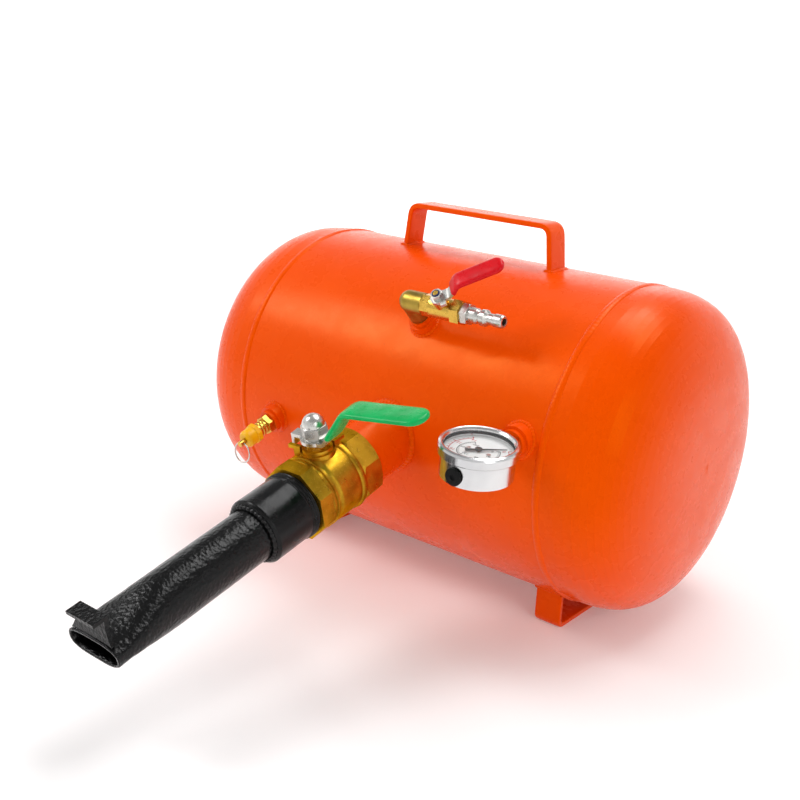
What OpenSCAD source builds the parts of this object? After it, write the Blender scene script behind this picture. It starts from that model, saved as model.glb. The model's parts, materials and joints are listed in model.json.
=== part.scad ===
// Portable air tank for seating tyre beads: a welded steel tank with a carry
// handle and two feet, a quick-opening ball valve with a flattened barrel, an
// inlet valve with a hose plug, a ring-pull relief valve and a pressure gauge.
// Millimetres. +X runs along the tank, -Y is the barrel side and +Z is up.

/* [Tank] */
// Outer radius of the tank
tank_r = 123; // [115:1:130]
// Half the distance between the two girth welds
seam_x = 144; // [140:1:170]
// Depth of each dished head beyond its weld
head_depth = 68.5; // [60:0.5:80]
// Wall of the shell and heads
wall = 3; // [2.5:0.5:4]
// Squareness of the dished heads, 2 is an ellipse
head_power = 3.2; // [2:0.1:4]

/* [Feet and handle] */
// Height of the tank's axis above the floor
axis_z = 135.5; // [133:0.5:145]
// Width of each foot across the tank
foot_w = 124; // [110:1:130]
// Length of each foot along the tank
foot_l = 22; // [18:1:30]
// Distance from the tank's middle to the middle of each foot
foot_x = 127.6; // [105:0.2:128]
// Thickness of the foot strap
foot_t = 4; // [3:0.5:5]
// Height of the handle's top above the tank's axis
handle_top = 158; // [150:1:170]
// Half length of the handle's top
handle_half = 68.5; // [60:0.5:85]
// Width of the handle strap
handle_w = 21; // [18:1:28]
// Thickness of the handle strap
handle_t = 4.5; // [3:0.5:6]
// Outward splay of the handle's legs, in degrees
handle_splay = 6.5; // [0:0.5:12]

/* [Barrel and main valve] */
// Place of the outlet along the tank
barrel_x = 11; // [-20:1:30]
// Height of the outlet above the tank's axis
barrel_z = 1; // [-5:1:10]
// Downward tilt of the barrel, in degrees
barrel_tilt = 15; // [10:1:18]
// Outer radius of the outlet stub and barrel nipple
nipple_r = 24.15; // [24.15:0.05:24.15]
// Outer radius of the barrel tube
tube_r = 19.05; // [18:0.05:19.5]
// Distance from the tank to the barrel's mouth
mouth_s = 274; // [250:1:290]
// Width of the flattened mouth
mouth_w = 48; // [44:1:50]
// Height of the flattened mouth
mouth_h = 17; // [14:1:22]
// Lever angle past square to the barrel, in degrees
lever_back = 5; // [0:1:8]

/* [Inlet, relief valve and gauge] */
// Place of the inlet along the tank
inlet_x = 16; // [10:1:20]
// Angle of the inlet boss above the horizontal, in degrees
inlet_angle = 43; // [41:1:46]
// Lever angle from the inlet valve's run, in degrees
inlet_lever_angle = 38; // [5:1:80]
// Place of the relief valve along the tank
relief_x = -106; // [-110:1:-95]
// Place of the gauge along the tank
gauge_x = 125; // [115:1:128]
// Outer radius of the gauge case
gauge_r = 25; // [24:0.5:26]
// Outer radius of the gauge bezel
bezel_r = 27.2; // [26.8:0.2:28]

/* [Hidden] */
$fn = 64;

orange = [0.93, 0.29, 0.03];
brass = [0.72, 0.53, 0.17];
zinc = [0.78, 0.78, 0.76];
black = [0.06, 0.06, 0.065];

// Weld beads stand this far out of the plate and are this wide
bead_h = 1.2;
bead_w = 6.5;
// Radii shared by neighbouring parts
stub_bore = 20.45;
boss_r = 12;
thread_r = 6.4;

// Stations along the barrel's axis, measured from the tank's surface
cap_face = 36.8;
cap_joint = 55;
stub_end = 49;
stem_s = 70;
nipple_in = 87;
body_face = 100;
nipple_end = 140;
tube_in = 130;
flat_from = 222;
mouth_up = 1.5;
ball_r = 20;
port_r = 13;
relief_bore = 14.2;
stem_r = 5;
gap = 0.05;

// Heights above the barrel's axis
bonnet_h = 31;
lever_h = 36;
lever_t = 2.6;
grip_h = 67.5;
grip_tip_h = 75;
grip_x = 34;
lever_len = 97;
stud_r = 3.3;
washer_top = 40;
dome_h = 48;
nut_top = 50.5;
packing_low = 24.5;
packing_top = 28;

// Inlet valve: height of its run above the boss and places along the run
run_z = 27.5;
inlet_up = 46;
mini_x = 32;
mini_ball_r = 5.6;
mini_port_r = 2.8;
mini_bore = 5;
mini_end = 48.5;

// Relief valve
relief_angle = -6;
relief_tilt = 20;
ring_r = 8.2;
ring_wire = 0.6;
ring_s = 39;

// Gauge: angle of its boss, droop of its stem and distance of its case
gauge_angle = 13;
gauge_tilt = 4;
gauge_out = 48;
gauge_twist = -4;
case_low = -8.8;
bezel_low = 6.5;
bezel_top = 14.5;
dial_z = 7.5;
pinion_teeth = 12;
sector_teeth = 96;
tooth_module = 0.25;
sector_y = tooth_module * (pinion_teeth + sector_teeth) / 2;
tube_mean_r = 18;
tip_angle = 194;
screw_x = 8;
tail_angle = 195;
tail_len = 8.8;

// Lowest and highest Y of the model in the tank's own frame
hook_s = 277;
hook_h = 26.5;
front_y = -tank_r - hook_s * cos(barrel_tilt) - hook_h * sin(barrel_tilt);
back_y = tank_r + bead_h;
tank_y = -(front_y + back_y) / 2;

// ---- frames ----

module tank_frame() translate([0, tank_y, axis_z]) children();

// Local +Z leaves the tank along a fitting and local +Y points up
module fitting(x, angle, up) {
  translate([x, -tank_r * cos(angle), tank_r * sin(angle)]) rotate([90 - up, 0, 0]) children();
}

module barrel_frame() {
  tank_frame() translate([barrel_x, -tank_r, barrel_z]) rotate([90 + barrel_tilt, 0, 0]) children();
}

module inlet_frame() tank_frame() fitting(inlet_x, inlet_angle, inlet_up) children();

module run_frame() inlet_frame() translate([0, 0, run_z]) rotate([0, 90, 0]) children();

// Local +Z is the inlet valve's stem axis
module mini_stem_frame() inlet_frame() translate([mini_x, 0, run_z]) children();

module relief_frame() tank_frame() fitting(relief_x, relief_angle, -relief_tilt) children();

module gauge_stem_frame() tank_frame() fitting(gauge_x, gauge_angle, -gauge_tilt) children();

// Local +Z is the gauge's own axis, out of the dial
module gauge_frame() {
  gauge_stem_frame() translate([0, 0, gauge_out]) rotate([0, 0, gauge_twist]) rotate([-90, 0, 0]) children();
}

// Local +Z is the main valve's stem axis, +X runs along the closed lever
module stem_frame() {
  barrel_frame() translate([0, 0, stem_s]) rotate([-90, 0, 0]) children();
}

// ---- helpers ----

module tube(r_out, r_in, z0, z1) {
  translate([0, 0, z0]) difference() {
    cylinder(r = r_out, h = z1 - z0);
    translate([0, 0, -1]) cylinder(r = r_in, h = z1 - z0 + 2);
  }
}

module rod(r, z0, z1) translate([0, 0, z0]) cylinder(r = r, h = z1 - z0);

// A prism of n sides, flats apart
module prism(flats, n, z0, z1) {
  translate([0, 0, z0]) rotate([0, 0, 180 / n]) cylinder(r = flats / 2 / cos(180 / n), h = z1 - z0, $fn = n);
}

// The same with both end corners turned off
module turned_nut(flats, n, z0, z1, chamfer = 1) {
  corner_r = flats / 2 / cos(180 / n);
  intersection() {
    prism(flats, n, z0, z1);
    rotate_extrude() polygon([
      [0, z0], [corner_r - chamfer, z0], [corner_r, z0 + chamfer],
      [corner_r, z1 - chamfer], [corner_r - chamfer, z1], [0, z1]]);
  }
}

// A ring of the given section height standing on a round bar
module bead_ring(r, w, h) {
  rotate_extrude() polygon([for (i = [0:8]) [r + h * sin(i * 22.5), -w / 2 * cos(i * 22.5)]]);
}

module along_x() rotate([0, 90, 0]) children();

// Half outline of a dished head, from its weld to its crown
function head_outline(r, d) = [for (i = [0:20])
  [r * pow(cos(i * 4.5), 2 / head_power), d * pow(sin(i * 4.5), 2 / head_power)]];

module head_shell() {
  difference() {
    rotate_extrude() polygon(concat([[0, 0]], head_outline(tank_r, head_depth)));
    translate([0, 0, -0.01])
      rotate_extrude() polygon(concat([[0, 0]], head_outline(tank_r - wall, head_depth - wall)));
  }
}

module tank_solid(r, half) along_x() translate([0, 0, -half]) cylinder(r = r, h = 2 * half, $fn = 128);

// Every hole that the fittings need through the shell
module fitting_holes(extra = 0) {
  translate([barrel_x, -tank_r, barrel_z]) rotate([90 + barrel_tilt, 0, 0]) rod(nipple_r + extra, -30, 30);
  fitting(inlet_x, inlet_angle, inlet_up) rod(boss_r - 1.5 + extra, -12, 12);
  fitting(relief_x, relief_angle, -relief_tilt) rod(boss_r - 0.5 + extra, -12, 12);
  fitting(gauge_x, gauge_angle, -gauge_tilt) rod(boss_r + extra, -12, 12);
}

function unit(v) = v / norm(v);

// Offset of one corner of a path, so that both neighbouring sides move by d
function mitre(p, i, d) = let (
    a = unit(p[max(i, 1)] - p[max(i, 1) - 1]),
    b = unit(p[min(i + 1, len(p) - 1)] - p[min(i, len(p) - 2)]),
    na = [-a[1], a[0]],
    n = unit(na + [-b[1], b[0]]))
  p[i] + d * n / (n * na);

// One corner of a path rounded over the length t on each side
function bend(p, i, t) = let (
    from = p[i] + t * unit(p[i - 1] - p[i]),
    to = p[i] + t * unit(p[i + 1] - p[i]))
  [for (k = [0:6]) let (u = k / 6) (1 - u) * (1 - u) * from + 2 * u * (1 - u) * p[i] + u * u * to];

function rounded(p, t) = concat(
  [p[0]], [for (i = [1:len(p) - 2]) each bend(p, i, t)], [p[len(p) - 1]]);

// A flat bar of thickness t and width w bent along a path in the XZ plane
module bent_bar(path, t, w) {
  n = len(path);
  points = [for (i = [0:2 * n - 1]) i < n ? mitre(path, i, t / 2) : mitre(path, 2 * n - 1 - i, -t / 2)];
  translate([0, w / 2, 0]) rotate([90, 0, 0]) linear_extrude(w) polygon(points);
}

// ---- welded tank ----

module tank_shell() color(orange) tank_frame() difference() {
  tank_solid(tank_r, seam_x);
  tank_solid(tank_r - wall, seam_x + 1);
  fitting_holes();
}

module left_head() color(orange) tank_frame() translate([-seam_x, 0, 0]) rotate([0, -90, 0]) head_shell();

module right_head() color(orange) tank_frame() translate([seam_x, 0, 0]) rotate([0, 90, 0]) head_shell();

module girth_welds() color(orange) tank_frame() for (x = [-seam_x, seam_x]) {
  translate([x, 0, 0]) along_x() bead_ring(tank_r, bead_w, bead_h);
}

// The rolled shell's long seam, underneath the tank
module shell_seam_weld() color(orange) tank_frame() intersection() {
  tank_solid(tank_r + bead_h * 0.6, seam_x - bead_w / 2);
  rotate([78, 0, 0]) translate([-seam_x, -tank_r - 5, -2.5]) cube([2 * seam_x, 10, 5]);
  difference() {
    tank_solid(tank_r + 5, seam_x);
    tank_solid(tank_r, seam_x + 1);
  }
}

// Middle line of the handle strap, from one base to the other
handle_mid = handle_half - handle_t / 2;
handle_z = handle_top - handle_t / 2;
handle_low = 100;
handle_base = handle_mid + (handle_z - handle_low) * tan(handle_splay);
handle_path = rounded([
  [-handle_base, handle_low], [-handle_mid, handle_z], [handle_mid, handle_z], [handle_base, handle_low]], 8);

module handle_blank(grow = 0) bent_bar(handle_path, handle_t + 2 * grow, handle_w + 2 * grow);

module carry_handle() color(orange) tank_frame() difference() {
  handle_blank();
  tank_solid(tank_r, seam_x);
}

module foot_section(grow = 0) {
  outer_h = axis_z + grow;
  bend = 7;
  w = foot_w + 2 * grow;
  difference() {
    union() {
      translate([-w / 2, -axis_z + bend]) square([w, outer_h - bend]);
      translate([-w / 2 + bend, -axis_z]) square([w - 2 * bend, bend]);
      for (s = [-1, 1]) translate([s * (w / 2 - bend), -axis_z + bend]) circle(r = bend);
    }
    inner_w = foot_w - 2 * foot_t - 2 * grow;
    inner_r = bend - foot_t;
    translate([-inner_w / 2, -axis_z + bend]) square([inner_w, outer_h]);
    translate([-inner_w / 2 + inner_r, -axis_z + foot_t]) square([inner_w - 2 * inner_r, bend]);
    for (s = [-1, 1]) translate([s * (inner_w / 2 - inner_r), -axis_z + bend]) circle(r = inner_r);
  }
}

module foot_blank(x, grow = 0) {
  translate([x - foot_l / 2 - grow, 0, 0]) rotate([90, 0, 90])
    linear_extrude(foot_l + 2 * grow) foot_section(grow);
}

module foot(x) difference() {
  foot_blank(x);
  tank_solid(tank_r, seam_x + 5);
}

module left_foot() color(orange) tank_frame() foot(-foot_x);

module right_foot() color(orange) tank_frame() foot(foot_x);

// Fillet welds under the handle's two bases and above the feet's four legs
module bracket_welds() color(orange) tank_frame() difference() {
  intersection() {
    union() {
      handle_blank(2.5);
      for (x = [-foot_x, foot_x]) foot_blank(x, 2.5);
    }
    tank_solid(tank_r + 3, seam_x - bead_w / 2);
  }
  tank_solid(tank_r, seam_x);
  handle_blank();
  for (x = [-foot_x, foot_x]) foot_blank(x);
}

// ---- bosses ----

module outlet_stub() color(orange) barrel_frame() difference() {
  tube(nipple_r, stub_bore, -12, stub_end);
  translate([0, 0, -12.01]) cylinder(r1 = stub_bore + 1.5, r2 = stub_bore, h = 1.5);
}

// A collar of weld metal that follows the tank's surface around a fitting
module collar(r, size) {
  difference() {
    rod(r + size, -20, 20);
    rod(r, -21, 21);
  }
}

module on_tank_skin(h) intersection() {
  children();
  difference() {
    tank_solid(tank_r + h, seam_x - bead_w / 2);
    tank_solid(tank_r, seam_x);
  }
}

module outlet_weld() color(orange) tank_frame() on_tank_skin(3.5) {
  translate([barrel_x, -tank_r, barrel_z]) rotate([90 + barrel_tilt, 0, 0]) collar(nipple_r, 4);
}

module stepped_boss(r, z0, step, z1) {
  difference() {
    union() {
      rod(r, z0, step);
      rod(r - 2, step, z1);
    }
    rod(thread_r, z0 - 1, z1 + 1);
  }
}

module inlet_boss() color(orange) inlet_frame() stepped_boss(boss_r - 1.5, -8, 6, 10);

module relief_boss() color(orange) relief_frame() stepped_boss(boss_r - 0.5, -8, 5, 8.5);

module gauge_boss() color(orange) gauge_stem_frame() stepped_boss(boss_r, -8, 6, 10);

module boss_welds() color(orange) tank_frame() on_tank_skin(2) {
  fitting(inlet_x, inlet_angle, inlet_up) collar(boss_r - 1.5, 2.5);
  fitting(relief_x, relief_angle, -relief_tilt) collar(boss_r - 0.5, 2.5);
  fitting(gauge_x, gauge_angle, -gauge_tilt) collar(boss_r, 2.5);
}

// ---- main ball valve ----

// End cap towards the tank: octagon, socket for the stub, threaded spigot
module valve_end_cap() color(brass) barrel_frame() difference() {
  union() {
    turned_nut(54, 8, cap_face, cap_joint, 2);
    rod(23, cap_joint - 1, stem_s - 14.6);
  }
  rod(nipple_r, cap_face - 1, stub_end);
  rod(port_r, stub_end - 1, stem_s);
  rod(relief_bore, stem_s - ball_r - 0.4, stem_s);
}

module bonnet() {
  rotate([-90, 0, 0]) {
    rod(12.5, 0, 28.2);
    rod(11, 27.6, bonnet_h);
  }
}

// A cast lug: a foot on the bonnet and a nose above the end cap
module stop_lug() {
  translate([-14.6, -8.6, 24.2]) cube([5.8, 3, 8]);
  translate([-19, -8.6, 29.6]) cube([10.2, 3, 2.6]);
}

// Two lugs stop the lever's tab at shut and at open
module stop_lugs() rotate([-90, 0, 0]) {
  for (open = [0, 1]) rotate([0, 0, open ? -90 : lever_back]) mirror([0, open, 0]) stop_lug();
}

module valve_body() color(brass) barrel_frame() difference() {
  union() {
    prism(53, 8, 88, body_face);
    rotate_extrude() polygon([
      [0, cap_joint], [28.2, cap_joint], [28.6, cap_joint + 1.5], [28.2, cap_joint + 3.4],
      [27.1, cap_joint + 4.2], [27.4, 62], [27.4, 78], [26.4, 81], [26.4, 82], [27.4, 82.6],
      [27.4, 84], [26.2, 84.6], [26.2, 85.4], [27.2, 86], [27.2, 87.6], [26, 88.2], [0, 88.2]]);
    translate([0, 0, stem_s]) bonnet();
    translate([0, 0, stem_s]) stop_lugs();
  }
  rod(nipple_r, nipple_in, body_face + 1);
  rod(relief_bore, stem_s, nipple_in + 1);
  rod(23, cap_joint - 1, stem_s + 14.6);
  translate([0, 0, stem_s]) rotate([-90, 0, 0]) {
    rod(stem_r + gap, 0, bonnet_h + 1);
    rod(8.5, packing_low, bonnet_h + 1);
  }
}

module ball_seats() color("white") barrel_frame() for (side = [-1, 1]) difference() {
  hull_free_seat(side);
  translate([0, 0, stem_s]) sphere(r = ball_r + gap);
}

module hull_free_seat(side) {
  near = stem_s + side * 10.5;
  far = stem_s + side * 14.6;
  tube(22.9, port_r, min(near, far), max(near, far));
}

module stem_packing() color("white") stem_frame() tube(8.5, stem_r + gap, packing_low, packing_top);

module packing_gland() color(brass) stem_frame() difference() {
  union() {
    rod(8.5, packing_top, bonnet_h);
    turned_nut(16, 6, bonnet_h, lever_h - 1.5, 0.8);
  }
  rod(stem_r + 0.35, packing_top - 1, lever_h);
}

module valve_ball() color(zinc) stem_frame() difference() {
  sphere(r = ball_r);
  rotate([0, 0, lever_back]) rotate([0, 90, 0]) rod(port_r, -30, 30);
  translate([-10, -3, ball_r - 4]) cube([20, 6, 10]);
}

// The stem's two flats turn with the lever's hole
module flatted_stem(z0, z1) rotate([0, 0, lever_back]) intersection() {
  rod(stem_r, z0, z1);
  translate([-stem_r, -3.5, z0]) cube([2 * stem_r, 7, z1 - z0]);
}

module valve_stem() color(brass) stem_frame() {
  intersection() {
    translate([-10, -3, ball_r - 4]) cube([20, 6, 4.5]);
    rod(9, 0, 30);
  }
  rod(stem_r, ball_r + 0.4, lever_h);
  flatted_stem(lever_h, lever_h + lever_t);
  rod(stud_r, lever_h + lever_t, nut_top);
}

// Middle line of the lever's bent bar, from the stem to the tip
lever_path = rounded([
  [4, lever_h + lever_t / 2], [12, lever_h + lever_t / 2], [grip_x, grip_h], [lever_len, grip_tip_h]], 3.5);

module bar_outline(w, len) {
  square([2 * (len - w / 2), w], center = true);
  translate([len - w / 2, 0]) circle(r = w / 2);
}

module lever_turn() stem_frame() rotate([0, 0, lever_back]) children();

module lever_bar() intersection() {
  bent_bar(lever_path, lever_t, 17);
  translate([0, 0, lever_h - 5]) linear_extrude(60) bar_outline(17, lever_len - 2);
}

module lever_plate() color(zinc) difference() {
  lever_turn() {
    lever_bar();
    rod(11, lever_h, lever_h + lever_t);
    translate([0, -8.5, lever_h]) cube([7, 17, lever_t]);
    translate([-19, -4, lever_h]) cube([19, 8, lever_t]);
    translate([-19, -4, lever_h - 6]) cube([lever_t, 8, 6 + lever_t]);
  }
  stem_frame() flatted_stem(lever_h - 1, lever_h + lever_t + 1);
}

// Dipped vinyl sleeve over the lever
module lever_grip() color([0.0, 0.6, 0.27]) lever_turn() difference() {
  intersection() {
    bent_bar(lever_path, lever_t + 2.4, 21.5);
    translate([0, 0, lever_h - 10]) linear_extrude(90) bar_outline(21.5, lever_len);
    translate([17, -20, 0]) cube([200, 40, 200]);
  }
  lever_bar();
}

// Domed nut that clamps the lever to the stem
module lever_nut() color(zinc) stem_frame() difference() {
  union() {
    turned_nut(17, 6, washer_top, dome_h, 1);
    intersection() {
      translate([0, 0, dome_h]) sphere(r = 8.2);
      rod(9, dome_h - 0.5, dome_h + 9);
    }
  }
  rod(stud_r, lever_h, nut_top);
}

module lever_washer() color(zinc) stem_frame() tube(8.4, stud_r, lever_h + lever_t, washer_top);

// ---- barrel ----

module barrel_nipple() color(black) barrel_frame() difference() {
  union() {
    rod(nipple_r, nipple_in, nipple_end - 2);
    translate([0, 0, nipple_end - 2]) cylinder(r1 = nipple_r, r2 = nipple_r - 1.6, h = 2);
  }
  rod(stub_bore, nipple_in - 1, nipple_end - 9);
  rod(tube_r, nipple_end - 10, nipple_end + 1);
}

module barrel_weld() color(black) barrel_frame() translate([0, 0, nipple_end])
  rotate_extrude() polygon([[tube_r, 0], [nipple_r - 1.7, 0], [nipple_r - 2.6, 1.6], [tube_r, 3.4]]);

module oval(w, h) {
  square([w - h, h], center = true);
  for (side = [-1, 1]) translate([side * (w - h) / 2, 0]) circle(r = h / 2);
}

module flattening(r, w, h, from, to) hull() {
  rod(r, from, from + 0.5, $fn = 32);
  translate([0, mouth_up, to - 8]) linear_extrude(8) oval(w, h, $fn = 32);
}

module barrel_tube() color(black) barrel_frame() {
  tube(tube_r, tube_r - 2, nipple_end - 9, flat_from);
  difference() {
    flattening(tube_r, mouth_w, mouth_h, flat_from, mouth_s, $fn = 32);
    flattening(tube_r - 2, mouth_w - 4, mouth_h - 4, flat_from - 0.1, mouth_s + 0.1, $fn = 32);
  }
}

// Outline of the rim hook's plate: wide at the barrel and waisted to its lip
hook_base = 22.8;
hook_lip = 13;
hook_side = [for (i = [0:6]) [hook_lip + (hook_base - hook_lip) * pow(1 - i / 6, 2), hook_h * i / 6 * 0.8]];

// Bent plate that hooks over the wheel's rim
module rim_hook() color(black) barrel_frame() difference() {
  union() {
    translate([0, 5, mouth_s]) rotate([-13.6, 0, 0]) translate([0, 0, -3]) linear_extrude(3) polygon(concat(
      hook_side, [for (i = [6:-1:0]) [-hook_side[i][0], hook_side[i][1]]]));
    translate([-hook_lip, hook_h - 2.5, mouth_s - 8]) cube([2 * hook_lip, 2.5, hook_s - mouth_s + 8]);
  }
  translate([0, mouth_up, mouth_s - 12]) linear_extrude(20) oval(mouth_w, mouth_h);
}

// ---- inlet assembly ----

module inlet_elbow() color(brass) inlet_frame() difference() {
  union() {
    rod(thread_r, -4, 10);
    rod(7.6, 10, run_z);
    translate([0, 0, run_z]) sphere(r = 8.2);
    translate([0, 0, run_z]) along_x() rod(8.2, 0, 14);
  }
  rod(4, -5, run_z);
  translate([0, 0, run_z]) along_x() {
    rod(4, -3, 20);
    rod(thread_r, 6, 20);
  }
}

module inlet_valve_body() color(brass) difference() {
  union() {
    run_frame() {
      rod(thread_r, 6, 15);
      prism(15.5, 8, 14, 22);
      rod(8, 21, 41);
      prism(16.5, 6, 41, mini_end);
    }
    mini_stem_frame() rod(5.5, 0, 11.5);
  }
  run_frame() {
    rod(mini_port_r, 5, mini_x);
    rod(mini_bore, mini_x - 6.2, mini_x);
    rod(6.2, mini_x - 4, mini_end - 1);
    rod(thread_r, mini_x + 4, mini_end + 1);
  }
  mini_stem_frame() {
    rod(2 + gap, 0, 20);
    rod(3.6, 8, 20);
  }
}

module inlet_seats() color("white") run_frame() for (side = [-1, 1]) difference() {
  tube(6.2, mini_port_r, mini_x + 3.6 * side - 0.4, mini_x + 3.6 * side + 0.4);
  translate([0, 0, mini_x]) sphere(r = mini_ball_r + gap, $fn = 48);
}

module inlet_gland() color(brass) mini_stem_frame() tube(3.6, 2 + gap, 8, 11.5);

module inlet_ball() color(zinc) mini_stem_frame() difference() {
  sphere(r = mini_ball_r, $fn = 48);
  rotate([0, 0, inlet_lever_angle]) rotate([0, 90, 0]) rod(mini_port_r, -10, 10);
  translate([-5, -0.9, mini_ball_r - 1.4]) cube([10, 1.8, 5]);
}

module inlet_stem() color(brass) mini_stem_frame() {
  intersection() {
    translate([-5, -0.9, mini_ball_r - 1.4]) cube([10, 1.8, 2]);
    rod(2, 0, 10);
  }
  rod(2, mini_ball_r + 0.4, 19);
}

mini_h = 12.3;
mini_t = 2;
mini_path = rounded([
  [4, mini_h + mini_t / 2], [9, mini_h + mini_t / 2], [17, mini_h + 10], [53, mini_h + 11]], 2.5);

module mini_turn() mini_stem_frame() rotate([0, 0, inlet_lever_angle]) children();

module mini_bar() intersection() {
  bent_bar(mini_path, mini_t, 9);
  linear_extrude(60) bar_outline(9, 51.5);
}

module inlet_lever() color(zinc) mini_turn() difference() {
  union() {
    mini_bar();
    rod(6, mini_h, mini_h + mini_t);
    translate([0, -4.5, mini_h]) cube([7, 9, mini_t]);
    translate([1, -9, mini_h]) cube([4, 6, mini_t]);
  }
  rod(2, mini_h - 1, mini_h + 4);
}

module inlet_grip() color([0.85, 0.02, 0.03]) mini_turn() difference() {
  intersection() {
    bent_bar(mini_path, mini_t + 2.6, 14);
    linear_extrude(60) bar_outline(14, 53);
    translate([11.5, -20, 0]) cube([100, 40, 60]);
  }
  mini_bar();
}

module inlet_nut() color(zinc) mini_stem_frame() difference() {
  turned_nut(8, 6, mini_h + mini_t, 18.2, 0.5);
  rod(2, mini_h, 20);
}

// Male plug for a quick-release air hose coupler
module hose_plug() color(zinc) run_frame() difference() {
  union() {
    rod(thread_r, mini_x + 4, mini_end);
    turned_nut(14, 6, mini_end, mini_end + 6, 0.8);
    rotate_extrude() polygon([
      [0, 54], [5.6, 54], [5.6, 60], [4.4, 62], [4.4, 63], [5.9, 64.5], [5.9, 68], [4.1, 70],
      [4.1, 74], [4.7, 75.5], [4.7, 81], [4.1, 82.5], [0, 82.5]]);
  }
  rod(2.7, mini_x, 90);
  rod(mini_bore, mini_x, mini_x + 6.3);
}

// ---- relief valve ----

module relief_body() color(brass) relief_frame() difference() {
  union() {
    rod(thread_r, -3, 8.5);
    turned_nut(14.3, 6, 8.5, 14, 0.8);
    rotate_extrude() polygon([
      [0, 13.5], [6, 13.5], [6, 16], [5.4, 16.8], [6, 17.6], [6, 19], [5.4, 19.8], [6, 20.6], [6, 22.5],
      [5.2, 23], [5.2, 28], [0, 28]]);
  }
  rod(2.2, -4, 8);
  rod(4.3, 6, 30);
}

module relief_cap() color([0.95, 0.72, 0.02]) relief_frame() difference() {
  union() {
    prism(15.4, 8, 23, 27);
    rotate_extrude() polygon([[0, 26.5], [7.2, 26.5], [7.2, 34], [5.9, 36], [0, 36]]);
  }
  rod(5.2, 22, 28);
  rod(4.3, 27, 31);
  rod(1.9, 30, 40);
}

module relief_stem() color(brass) relief_frame() difference() {
  union() {
    rod(3.9, 6.35, 8.8);
    rod(1.5, 8.5, 37);
    rod(2.4, 36.6, 42);
  }
  translate([0, 0, ring_s]) along_x() rod(1.4, -5, 5);
}

// Coil spring over the relief stem, a round wire swept along a helix
coil_r = 2.9;
wire_r = 0.45;
coil_low = 9.3;
coil_pitch = 3;
coil_turns = 5;
coil_steps = 20;
coil_sides = 8;
coil_last = coil_turns * coil_steps;

function coil_point(i, k) = let (
    turn = 360 * i / coil_steps,
    round = 360 * k / coil_sides,
    r = coil_r + wire_r * cos(round))
  [r * cos(turn), r * sin(turn), coil_low + coil_pitch * i / coil_steps + wire_r * sin(round)];

module relief_spring() color(zinc) relief_frame() polyhedron(
  points = [for (i = [0:coil_last]) for (k = [0:coil_sides - 1]) coil_point(i, k)],
  faces = concat(
    [[for (k = [0:coil_sides - 1]) k]],
    [[for (k = [coil_sides - 1:-1:0]) coil_last * coil_sides + k]],
    [for (i = [0:coil_last - 1]) for (k = [0:coil_sides - 1]) let (
        a = i * coil_sides + k,
        b = i * coil_sides + (k + 1) % coil_sides)
      each [[a, a + coil_sides, b], [b, a + coil_sides, b + coil_sides]]]));

module ring_frame() relief_frame() translate([0, 0, ring_s]) rotate([-90 - relief_tilt, 0, 0]) children();

module relief_ring() color(zinc) ring_frame() translate([0, 0, -ring_r]) rotate([90, 0, 0])
  rotate_extrude($fn = 48) translate([ring_r, 0]) circle(r = ring_wire, $fn = 16);

// ---- gauge ----

module gauge_socket() color(brass) gauge_stem_frame() difference() {
  union() {
    rod(thread_r, -3, 10);
    turned_nut(14, 4, 10, 19, 0.8);
    rod(5, 18, gauge_out - gauge_r + 6);
    translate([-5, -5, gauge_out - gauge_r + 3.2]) cube([10, 8, 6]);
  }
  rod(1.6, -4, gauge_out - gauge_r + 5);
}

module gauge_case() color(zinc) gauge_frame() difference() {
  rod(gauge_r, case_low, bezel_low + 3);
  rod(gauge_r - 1, case_low + 1, bezel_low + 4);
  rotate([-90, 0, 0]) rod(5, 0, 30);
  translate([0, 0, -2]) rotate([90, 0, 0]) rod(5, 0, 30);
}

module gauge_bezel() color(zinc) gauge_frame() difference() {
  rotate_extrude() polygon([
    [gauge_r, bezel_low], [bezel_r - 0.8, bezel_low], [bezel_r, bezel_low + 0.8],
    [bezel_r, bezel_top - 2], [bezel_r - 0.6, bezel_top - 0.6], [bezel_r - 2, bezel_top],
    [bezel_r - 3, bezel_top - 0.3], [gauge_r - 1.8, bezel_top - 1.5], [gauge_r - 1.8, bezel_top - 2.2],
    [gauge_r, bezel_top - 2.2]]);
}

module gauge_lens() color("azure", 0.3) gauge_frame() rod(gauge_r - 0.2, bezel_top - 4.2, bezel_top - 2.2);

module gauge_gasket() color(black) gauge_frame()
  tube(gauge_r - 0.2, gauge_r - 1.9, bezel_low + 3, bezel_top - 4.2);

// Soft plug that lets the case vent and blow out
module gauge_plug() color(black) gauge_frame() translate([0, 0, -2]) rotate([90, 0, 0]) difference() {
  union() {
    rod(5, gauge_r - 2.5, gauge_r + 0.5);
    rod(6.1, gauge_r + 0.4, gauge_r + 2);
  }
  rod(2, gauge_r + 1, gauge_r + 3);
}

module gauge_dial() color("white") gauge_frame() difference() {
  rod(gauge_r - 1.05, dial_z - 0.8, dial_z);
  rod(1.4, dial_z - 2, dial_z + 1);
  for (side = [-1, 1]) translate([side * screw_x, 0, 0]) rod(0.8, dial_z - 2, dial_z + 1);
}

module gauge_screws() color(zinc) gauge_frame() for (side = [-1, 1]) translate([side * screw_x, 0, 0]) {
  rod(1.5, dial_z, dial_z + 0.6);
  rod(0.8, 4.5, dial_z);
}

// Curved, hollow pressure tube that uncoils as the pressure rises
module bourdon_tube() color(brass) gauge_frame() rotate([0, 0, tip_angle]) difference() {
  rotate_extrude(angle = 240) translate([tube_mean_r - 1, -5]) square([2, 5]);
  rotate([0, 0, 4]) rotate_extrude(angle = 234) translate([tube_mean_r - 0.6, -4.5]) square([1.2, 4]);
}

module plate_outline() {
  translate([-9.5, -4]) square([19, 13]);
  translate([-4.5, 8]) square([9, 7.8]);
}

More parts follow.
